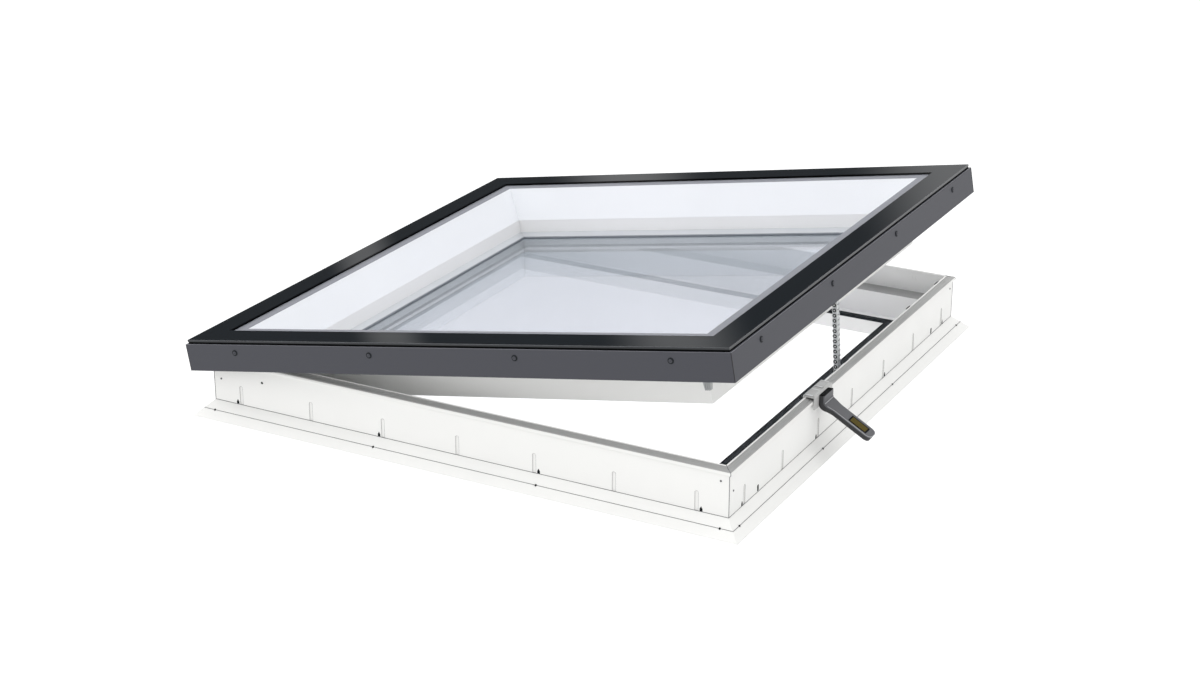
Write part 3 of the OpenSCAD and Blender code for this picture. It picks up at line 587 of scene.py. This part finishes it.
# The rail's outline at a mitre as (inset from the wall, height), from the wall's foot to the trough
MITRE = np.array([(0, FLANGE_TOP), (0, 90), (0, 132.6), (-4, 135), (-4.8, 139), (-3, 143),
                  (1, 144.3), (4, 143.8), (11.8, 146.8), (13, 149), (15, 149.3), (16.8, 147.6)])
CORNERS = [(-1, -1), (1, -1), (1, 1), (-1, 1)]


def mitre_line(outline, half, corner, radius):
    """The outline carried into the vertical plane through a corner, as a thin tube."""
    level = half - outline[:, :1]
    path = np.concatenate([level * corner[0], level * corner[1], outline[:, 1:]], -1)
    return tube(path, radius, np.array([corner[0], -corner[1], 0]) / math.sqrt(2))


def scored_line(inset, height, radius):
    """A dark bead round the four sides at one inset and height."""
    return surface(square_ring(disc((inset, height), radius, 6), WALL), closed_path=True)


seams = [surface(mitre_line(MITRE, WALL, corner, MITRE_R)) for corner in CORNERS]
seams.append(scored_line(0.1, FLANGE_TOP + 0.1, FLANGE_LINE_R))
seams.append(scored_line(-NAIL_OUT, NAIL_LEVEL, NAIL_LINE_R))
print(len(seams), "joint and score lines")

# %% Drain slot edges
SLOT_PITCH, SLOT_MARGIN, SLOT_R, SLOT_TOP = 198, 70, 4.3, 83
slot_number = int((2 * WALL - 2 * SLOT_MARGIN) // SLOT_PITCH) + 1
slot_places = (np.arange(slot_number) - (slot_number - 1) / 2) * SLOT_PITCH


def on_side(points, side):
    """Places (along, outward, height) of one wall turned to side 0 to 3, counted from the front."""
    angle = side * math.pi / 2
    along, outward = points[..., 0], points[..., 1] + WALL
    return np.stack([along * math.cos(angle) + outward * math.sin(angle),
                     along * math.sin(angle) - outward * math.cos(angle), points[..., 2]], -1)


def side_way(side, way):
    """A direction (along, outward, height) of one wall, turned to its side."""
    return on_side(np.array(way), side) - on_side(np.zeros(3), side)


def slot_edge(middle, side):
    """Up one edge of a slot, round its top and down the other: a fine tube on the wall's face."""
    angle = np.linspace(np.pi, 0, 9)
    bow = np.stack([SLOT_R * np.cos(angle), SLOT_TOP - SLOT_R + SLOT_R * np.sin(angle)], -1)
    line = np.concatenate([[(-SLOT_R, FLANGE_TOP + 1)], bow, [(SLOT_R, FLANGE_TOP + 1)]])
    path = np.stack([middle + line[:, 0], np.zeros(len(line)), line[:, 1]], -1)
    outward = side_way(side, (0, 1.0, 0))
    return surface(tube(on_side(path, side), SLOT_LINE_R, outward, 5))


seams += [slot_edge(x, side) for side in range(4) for x in slot_places]
piece("base_joint_lines", seams, joint_line, "base")

# %% [markdown]
# ## Holes in the walls
# Drain notches, vents, nail holes and the cable hole lead into the dark of the profile or down to
# the roof. Their depth is in the construction already. White walls light such small holes too
# well, so a dark plug of painted shade fills each mouth and stands for the unlit inside.

# %% Unlit insides
painted_hole_shade = drifting("unlit_hole_painted_shade", ("#1C1E20", "#242628"), 6, 0.95, 0.0)

NOTCH_OFF, NOTCH_W, NOTCH_H = 11, 7.0, 12.5
VENT_CORNER, VENT_W, VENT_LOW, VENT_H = 146, 8.0, 37.5, 16.0
NAIL_CORNER, NAIL_MID, NAIL_R = 11, 213, 2.3
NAIL_DEEP, NAIL_PROUD = 2.5, 0.7
CABLE_CORNER, CABLE_H, CABLE_R = 138, 104, 3.1
NOTCH = np.array([(-NOTCH_W / 2, 0), (NOTCH_W / 2, 0), (NOTCH_W / 2, NOTCH_H / 2), (0, NOTCH_H),
                  (-NOTCH_W / 2, NOTCH_H / 2)])
bow = disc((0, 0), VENT_W / 2, 12)
VENT = bow + np.where(bow[:, 1:] > 0, VENT_H - VENT_W / 2, VENT_W / 2) * np.array([[0, 1]])


def wall_shade_plug(outline, along, height, side, mouth=0.12, depth=1.2):
    """A flat outline of (along, up) points as a dark plug of painted shade behind the face of a
    wall.
    """
    rows = [np.stack([along + outline[:, 0], np.full(len(outline), out),
                      height + outline[:, 1]], -1) for out in (mouth, mouth - depth)]
    return surface(on_side(np.stack(rows), side))


def nail_shade_plug(along, side):
    """A round dark plug of painted shade at right angles to the flange, its face just clear of the
    scored line.
    """
    slope = math.atan2(FLANGE_TOP, FLANGE_OUT)
    normal = np.array([0, math.sin(slope), math.cos(slope)])
    at = np.array([along, NAIL_OUT, NAIL_LEVEL])
    path = on_side(at + np.array([[-NAIL_DEEP], [NAIL_PROUD]]) * normal, side)
    return surface(tube(path, NAIL_R, side_way(side, (1.0, 0, 0)), 10))


shade_plugs = [wall_shade_plug(NOTCH, x + math.copysign(NOTCH_OFF, x), FLANGE_TOP, side)
         for side in range(4) for x in slot_places[::2]]
shade_plugs += [wall_shade_plug(VENT, sign * (WALL - VENT_CORNER), VENT_LOW, 1) for sign in (-1, 1)]
shade_plugs += [nail_shade_plug(x, side) for side in range(4)
          for x in (NAIL_CORNER - WALL, -NAIL_MID, NAIL_MID, WALL - NAIL_CORNER)]
shade_plugs.append(wall_shade_plug(disc((0, 0), CABLE_R, 12), CABLE_CORNER - WALL, CABLE_H, 0))
piece("wall_hole_painted_shade", shade_plugs, painted_hole_shade, "base", smooth=False)

# %% [markdown]
# ## Painted shade on the rim and in the trough
# The band between the rim's two beads and the floor of the trough behind the rim lie in the
# shade of the open sash above. Each is drawn as a grey strip of painted shade: a thin closed strip
# that follows the rail all the way round.

# %% Grey strips of painted shade
rim_painted_shade = pvc_profile("painted_shade_on_rim", "#A2A2A1", "#9C9C9B")
trough_painted_shade = pvc_profile("painted_shade_in_trough", "#989897", "#919190")
BAND = np.array([(-3.2, 142.0), (0.4, 143.6), (4.4, 143.2), (12.0, 146.0), (12.5, 148.2),
                 (12.2, 148.4), (11.8, 146.95), (4.4, 144.3), (1.2, 144.75), (-1.4, 144.15),
                 (-3.1, 143.5), (-4.0, 142.3)])
TROUGH = np.array([(17.2, 91.8), (66.8, 91.8), (66.8, 92.2), (17.2, 92.2)])
piece("rim_band", [surface(square_ring(BAND, WALL), closed_path=True)], rim_painted_shade, "base",
      smooth=False)
piece("trough_band", [surface(square_ring(TROUGH, WALL), closed_path=True)], trough_painted_shade, "base",
      smooth=False)

# %% [markdown]
# ## Edges of the sash
# A toughened pane has its sharp edges ground off. The ground arris is matt and grey, so it draws
# a thin pale line round the black border. The skirt's four folded sheets meet at the corners in
# a closed joint, drawn as a near-black bead of painted shade for the shadow it holds.

# %% Ground arris of the cover glass
arris = drifting("ground_glass_arris", ("#808286", "#929498"), 0.8, 0.7)
GLASS_HALF = glass_high[0] / MM
GLASS_TOP = glass_high[2] / MM
arris_section = disc((0.75, GLASS_TOP - 0.75), 0.8, 8)
piece("glass_arris", [surface(opened(square_ring(arris_section, GLASS_HALF)), closed_path=True)],
      arris, "sash")

# %% Bonding fillet under the cover glass, darkened with painted shade
# A grey silicone fillet, darkened past its own grey as painted shade from the black border above it
fillet_painted_shade = drifting("silicone_fillet_painted_shade", ("#75777C", "#7E8085"), 12, 0.6)
FILLET = np.array([(64.5, GLASS_TOP - 5.3), (100.8, GLASS_TOP - 5.6), (101.2, GLASS_TOP - 5.95),
                   (64.5, GLASS_TOP - 5.9)])
piece("bonding_fillet", [surface(opened(square_ring(FILLET, GLASS_HALF)), closed_path=True)],
      fillet_painted_shade, "sash", smooth=False)

# %% Corner joints of the skirt
SKIRT_OUT = 4.2
SKIRT_TOP = 9.6
SKIRT_FOOT = 74.5
JOINT_R, JOINT_IN = 0.9, 0.3
skirt_joint = drifting("shaded_skirt_joint", ("#1B1C1E", "#222326"), 20, 0.8)
edge = np.array([(JOINT_IN - SKIRT_OUT, GLASS_TOP - SKIRT_TOP),
                 (JOINT_IN - SKIRT_OUT, GLASS_TOP - SKIRT_FOOT)])
piece("skirt_corner_joints",
      [surface(opened(mitre_line(edge, GLASS_HALF, corner, JOINT_R))) for corner in CORNERS],
      skirt_joint, "sash")

# %% Rounded fold along the top of the skirt, lighter as a painted highlight
FOLD_R = 0.9
fold = disc((-SKIRT_OUT + FOLD_R, GLASS_TOP - SKIRT_TOP - FOLD_R + 0.4), FOLD_R, 10)
# Much lighter than the powder coat: a painted highlight where the fold turns up to the light
fold_painted_highlight = drifting("skirt_fold_painted_highlight", ("#77787E", "#7E7F85"), 1.1, 0.45, 0.4)
piece("skirt_fold", [surface(opened(square_ring(fold, GLASS_HALF)), closed_path=True)],
      fold_painted_highlight, "sash")

# %% [markdown]
# ## Clips on the side rims
# Small rubber clips grip the inner bead of the two side rims, one above each drain slot. Each is
# a rounded block: a superellipse section whose size swells and closes again towards both ends.

# %% Rim clips
CLIP_IN, CLIP_MIDDLE = 17.0, 148.1
CLIP_SIZE = (13.0, 1.8, 1.7)


def pillow(centre, size, power=0.35, rows=9, columns=16):
    """A superellipsoid: x = a c(v) c(u), y = b c(v) s(u), z = h s(v), each term to a power.

    u runs round the block and v from pole to pole; c and s are cosine and sine with their
    sign kept, raised to the power.
    """
    v, u = np.meshgrid(np.linspace(-1.5, 1.5, rows), np.linspace(0, 2 * np.pi, columns, False),
                       indexing="ij")
    bent = [np.sign(wave) * np.abs(wave) ** power for wave in (np.cos(u), np.sin(u), np.sin(v))]
    slim = np.cos(v) ** power
    return centre + np.stack([size[0] * slim * bent[0], size[1] * slim * bent[1],
                              size[2] * bent[2]], -1)


clips = [surface(on_side(pillow(np.array([y, -CLIP_IN, CLIP_MIDDLE]), CLIP_SIZE), side))
         for side in (1, 3) for y in slot_places]
piece("rim_clips", clips, rubber, "base")

# %% [markdown]
# ## The rain sensor's arm
# The sensor is one injection moulding: an upright head, an elbow and a flat arm with a window in
# its end. Its section is a rounded rectangle everywhere, so the arm is a section carried from
# the top of the head, round the elbow and out to the tip, while its width and its two faces
# change. The window is a sunken rounded rectangle pressed into the grid of the upper face.

# %% Sizes of the sensor arm
SENSOR_Y = -195
HEAD_BACK, HEAD_FRONT = 9.0, 22.0
HEAD_TOP, ELBOW = 150.0, 130.0
HEAD_W, ARM_W, ARM_L, ARM_T, TIP_R = 54.0, 45.0, 127.0, 12.0, 13.0
SLOPE = math.radians(29.5)
# Where the bends start on the head and end on the arm, on the upper and the lower face
UPPER_RISE, UPPER_RUN = 6.0, 8.0
LOWER_DROP, LOWER_RUN, CORNER_DROP = 1.0, 15.0, 15.5
# From here on both faces keep the same pace, and the width tapers over a length of its own
EVEN_FROM, TAPER_FROM, TAPER_LENGTH = 30.0, 4, 26
TIP_SHARE = 0.97
HEAD_ROWS, BEND_ROWS, ARM_ROWS, TIP_ROWS = 12, 16, 110, 14
out_way = np.array([math.cos(SLOPE), -math.sin(SLOPE)])
up_way = np.array([math.sin(SLOPE), math.cos(SLOPE)])
print("arm slopes", round(math.degrees(SLOPE), 1), "degrees and is", ARM_L, "mm long")


# %% Path of the sensor arm
def bend(start, corner, end):
    """A curve q(t) = (1-t)^2 start + 2 t (1-t) corner + t^2 end, without its first point."""
    t = np.linspace(0, 1, BEND_ROWS)[1:, None]
    return (1 - t) ** 2 * start + 2 * t * (1 - t) * corner + t ** 2 * end


def upright(across, foot):
    """Points down one face of the head, from its top to a foot height."""
    steps = np.linspace(0, 1, HEAD_ROWS)[:, None]
    return np.array([across, HEAD_TOP]) + steps * (0, foot - HEAD_TOP)


elbow = np.array([HEAD_FRONT, ELBOW])
under = elbow - ARM_T * up_way
back_corner = np.array([HEAD_BACK, ELBOW - CORNER_DROP])
straight = np.linspace(0, 1, ARM_ROWS + 1)[:-1] * (ARM_L - TIP_R)
rounded = ARM_L - TIP_R + TIP_R * np.sin(np.linspace(0, 1, TIP_ROWS) * np.pi / 2)
arm_steps = np.concatenate([straight, rounded])
arm_steps = arm_steps[arm_steps > UPPER_RUN]
lower_steps = np.interp(arm_steps, [UPPER_RUN, EVEN_FROM, ARM_L], [LOWER_RUN, EVEN_FROM, ARM_L])
upper = np.concatenate([upright(HEAD_FRONT, ELBOW + UPPER_RISE),
                        bend(elbow + (0, UPPER_RISE), elbow, elbow + UPPER_RUN * out_way),
                        elbow + arm_steps[:, None] * out_way])
lower_start = np.array([HEAD_BACK, ELBOW - LOWER_DROP])
lower = np.concatenate([upright(HEAD_BACK, ELBOW - LOWER_DROP),
                        bend(lower_start, back_corner, under + LOWER_RUN * out_way),
                        under + lower_steps[:, None] * out_way])

# %% Widths along the path
rows = len(upper)
reach = np.concatenate([np.zeros(rows - len(arm_steps)), arm_steps])
tip = np.clip(reach - (ARM_L - TIP_R), 0, TIP_R)
blend = np.clip((reach - TAPER_FROM) / TAPER_LENGTH, 0, 1)
width = HEAD_W + (ARM_W - HEAD_W) * blend ** 2 * (3 - 2 * blend)
width = width - 2 * (TIP_R - np.sqrt(TIP_R ** 2 - tip ** 2)) * TIP_SHARE
print("sensor arm rows", rows, "tip width", round(float(width[-1]), 1))


# %% Section of the sensor arm
def rounded_loop(thick, wide, radius, across, corner_steps=6):
    """Loop of a rounded rectangle as points (through, over), for a thickness and a width.

    The four sides are straight runs between quarter circles; `across` is the number of points
    on the two long sides.
    """
    angle = np.linspace(0, np.pi / 2, corner_steps)
    quarters = ((1, 1), (1, -1), (-1, -1), (-1, 1))
    parts = []
    for quarter, (st, sw) in enumerate(quarters):
        turn = angle if quarter % 2 else angle[::-1]
        parts.append(np.stack([st * (thick / 2 - radius) + st * radius * np.cos(turn),
                               sw * (wide / 2 - radius) + sw * radius * np.sin(turn)], -1))
        if quarters[(quarter + 1) % 4][0] == st:
            run = np.linspace(1, -1, across + 2)[1:-1] * sw * (wide / 2 - radius)
            parts.append(np.stack([np.full(across, st * thick / 2), run], -1))
    return np.concatenate(parts)


EDGE_R, LEAST_FLAT, ACROSS = 2.2, 0.4, 44
through = upper - lower
thickness = np.linalg.norm(through, axis=1)
through = through / thickness[:, None]
middle = (upper + lower) / 2
edge_r = np.minimum(EDGE_R, width / 2 - LEAST_FLAT)
loops = np.stack([rounded_loop(t, w, r, ACROSS) for t, w, r in zip(thickness, width, edge_r)])
side, over = loops[..., 0], loops[..., 1]
print("section loops", loops.shape)

# %% [markdown]
# The window's floor is `sunk` wherever a point of the upper face lies inside a rounded
# rectangle. The distance past that rectangle is negative inside it, so half a millimetre on
# either side of its outline becomes the slope of the recess.

# %% Window recess
WINDOW_FROM, WINDOW_TO, WINDOW_W = 63.0, 111.0, 26.0
WINDOW_DEEP, WINDOW_R, WINDOW_GAP = 1.6, 3.0, 1
on_top = (side > 0) & (np.abs(side - thickness[:, None] / 2) < 0.1)
past_sides = np.abs(over) - WINDOW_W / 2 - WINDOW_GAP + WINDOW_R
past_ends = (np.abs(reach[:, None] - (WINDOW_FROM + WINDOW_TO) / 2)
             - (WINDOW_TO - WINDOW_FROM) / 2 - WINDOW_GAP + WINDOW_R)
past = np.hypot(np.maximum(past_sides, 0), np.maximum(past_ends, 0)) - WINDOW_R
sunk = np.clip(0.5 - past, 0, 1) * on_top
side = side - WINDOW_DEEP * sunk
print("points in the recess", int((sunk > 0).sum()))

# %% Sensor arm
# Faces below this share of the thickness above the middle are drawn near black, as painted shade on
# the arm's sides and underside
SHADED_BELOW = 0.38
# A face is window black where the recess has reached this share of its depth
BLACK_FROM = 0.15
SHELL, BLACK, LOWER = 0, 1, 2
flat_xz = middle[:, None] + side[..., None] * through[:, None]
arm_points = np.stack([WALL + flat_xz[..., 0], SENSOR_Y + over, flat_xz[..., 1]], -1)
arm = piece("sensor_moulding", [surface(arm_points)], dark_abs, "base")
arm.data.materials.append(window_black)
arm.data.materials.append(moulded("sensor_sides_painted_shade", "#1E1F21", "#242528", 0.5))
cell = np.minimum(sunk[:-1], sunk[1:])
in_window = np.minimum(cell, np.roll(cell, -1, 1)) > BLACK_FROM
low = (side / thickness[:, None] < SHADED_BELOW)[:-1]
low = low & np.roll(low, -1, 1)
shell = np.full(len(arm.data.polygons), SHELL, dtype=np.int32)
shell[:low.size] = np.where(in_window, BLACK, np.where(low, LOWER, SHELL)).reshape(-1)
shell[low.size] = BLACK
arm.data.polygons.foreach_set("material_index", shell)
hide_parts("sensor_arm")

# %% Painted highlight along the elbow
RIDGE_OUT, RIDGE_UP, RIDGE_END, ELBOW_RIDGE_R = 1.6, 1.4, 3, 1.1
# Thin light grey beads that stand for the highlights along the elbow and the arm's edges
painted_highlight_grey = moulded("sensor_painted_highlight", "#A2A3A6", "#ACADB0", 0.3)
ridge_y = np.linspace(RIDGE_END - HEAD_W / 2, HEAD_W / 2 - RIDGE_END, 3)
ridge = np.stack([np.full(3, WALL + HEAD_FRONT + RIDGE_OUT), SENSOR_Y + ridge_y,
                  np.full(3, ELBOW + RIDGE_UP)], -1)
piece("sensor_elbow_highlight", [surface(tube(ridge, ELBOW_RIDGE_R, np.array([1.0, 0, 0])))],
      painted_highlight_grey, "base")

# %% Painted highlight line round the upper face of the arm
EDGE_IN, EDGE_LINE_R, EDGE_UP = 2.6, 0.8, 0.1
LINE_FROM, NARROWEST = 6, 12
TURN_OUT, TURN_IN, TURN_POINTS = 0.6, 2, 5
# The line ends this many points early, so on the far side it stops short of the elbow
LEFT_OUT = 60
along_side = (reach > LINE_FROM) & (width > 2 * EDGE_IN + NARROWEST)
side_line = np.stack([reach, EDGE_IN - width / 2], -1)[along_side]
turn_line = np.stack([np.full(TURN_POINTS, side_line[-1, 0] + TURN_OUT),
                      np.linspace(side_line[-1, 1] + TURN_IN, 0, TURN_POINTS)], -1)
half_line = np.concatenate([side_line, turn_line])
round_line = np.concatenate([half_line, half_line[-2::-1] * (1, -1)])[:-LEFT_OUT]
at_arm = elbow + round_line[:, :1] * out_way + EDGE_UP * up_way
line_path = np.stack([WALL + at_arm[:, 0], SENSOR_Y + round_line[:, 1], at_arm[:, 1]], -1)
normal = np.array([up_way[0], 0, up_way[1]])
piece("sensor_edge_highlight", [surface(tube(line_path, EDGE_LINE_R, normal, 6))], painted_highlight_grey,
      "base")

# %% Ridges across the saddle, drawn white as painted highlights on the rib edges
SADDLE_RIDGE_Z, SADDLE_RIDGE_R = 155.1, 1.0
SADDLE_RIDGES = (-46, -10, 10, 46)
RIDGE_BACK, RIDGE_FRONT = 17.0, 2.0
ridge_x = np.array([WALL - RIDGE_BACK, WALL + RIDGE_FRONT])
ridges = [np.stack([ridge_x, np.full(2, SENSOR_Y + off), np.full(2, SADDLE_RIDGE_Z)], -1)
          for off in SADDLE_RIDGES]
piece("saddle_ridge_highlights",
      [surface(tube(ridge, SADDLE_RIDGE_R, np.array([0, 1.0, 0]))) for ridge in ridges],
      splay_white_painted_light, "base")

# %% [markdown]
# ## The chain
# A push chain bends only one way: every link is a solid block between two plates, so it stands
# upright when it is pushed out. Plates of neighbouring links overlap at the pins, one pair
# outside the other. A plate's outline is two round ends about its pins joined by a waist.

# %% Link shapes
PITCH, PLATE_R, PLATE_T, CHAIN_W, PIN_R = 12.7, 6.5, 1.5, 16.4, 2.0
BLOCK_IN, RECESS_R, RECESS_OUT, PIN_OUT = 3.2, 4.7, 0.15, 0.7
pin_low, pin_high = (np.array(corner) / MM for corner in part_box("chain_pin"))
pivot = (pin_low + pin_high) / 2
CHAIN_LEAN = math.radians(3.56)
down = np.array([math.sin(CHAIN_LEAN), 0, -math.cos(CHAIN_LEAN)])
out = np.array([math.cos(CHAIN_LEAN), 0, math.sin(CHAIN_LEAN)])
level_y = np.array([0.0, 1.0, 0.0])
LINKS = 20


def slab(outline, place, low, high):
    """A flat outline of (out, down) points, made thick from low to high along Y."""
    face = place + outline[:, :1] * out + outline[:, 1:] * down
    return surface(np.stack([face + low * level_y, face + high * level_y]))


def plate_outline(count=13, waist=0.78, waist_from=0.35, waist_to=0.65):
    """Half circles about two pins a pitch apart; between them the width is waist times theirs."""
    angle = np.linspace(0, np.pi, count)
    top = np.stack([PLATE_R * np.cos(angle), -PLATE_R * np.sin(angle)], -1)
    bottom = np.stack([-PLATE_R * np.cos(angle), PITCH + PLATE_R * np.sin(angle)], -1)
    side = PLATE_R * waist
    near, away = PITCH * waist_from, PITCH * waist_to
    return np.concatenate([top, [(-side, near), (-side, away)], bottom,
                           [(side, away), (side, near)]])


PLATE = plate_outline()
BLOCK_GAP = 1.2
BLOCK = np.array([(-3.4, BLOCK_GAP), (5.4, BLOCK_GAP), (5.4, PITCH - BLOCK_GAP),
                  (-3.4, PITCH - BLOCK_GAP)])
plates, pins, pin_hole_shades = [], [], []
for link in range(LINKS):
    place = pivot * (1, 0, 1) + link * PITCH * down
    outer = CHAIN_W / 2 - (0 if link % 2 == 0 else PLATE_T)
    plates.append(slab(PLATE, place, outer - PLATE_T, outer))
    plates.append(slab(PLATE, place, -outer, PLATE_T - outer))
    half = CHAIN_W / 2
    plates.append(slab(BLOCK, place, BLOCK_IN - half, half - BLOCK_IN))
    # Round each pin a dark disc stands just proud of the outer plates: painted shade for the pin
    # holes and the gaps between the plates
    recess, pin = disc((0, PITCH), RECESS_R, 14), disc((0, PITCH), PIN_R, 12)
    pin_hole_shades.append(slab(recess, place, -half - RECESS_OUT, half + RECESS_OUT))
    pins.append(slab(pin, place, -half - PIN_OUT, half + PIN_OUT))
print(LINKS, "links of", PITCH, "mm")

# %% Chain
bright_steel = metal("nickel_plated_steel", "#B4B6B8", "#D2D4D5", 0.34, grain_mm=3)
# The dark discs round the pins take this second material, which is painted shade
chain_hole_painted_shade = metal("chain_pin_hole_painted_shade", "#141516", "#1C1D1E", 0.55)
chain = piece("push_chain", plates + pins + pin_hole_shades, bright_steel, "base",
              smooth=False)
chain.data.materials.append(chain_hole_painted_shade)
plain = sum(len(faces) for _, faces in plates + pins)
index = (np.arange(len(chain.data.polygons)) >= plain).astype(np.int32)
chain.data.polygons.foreach_set("material_index", index)
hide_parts("chain")
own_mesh(chain)
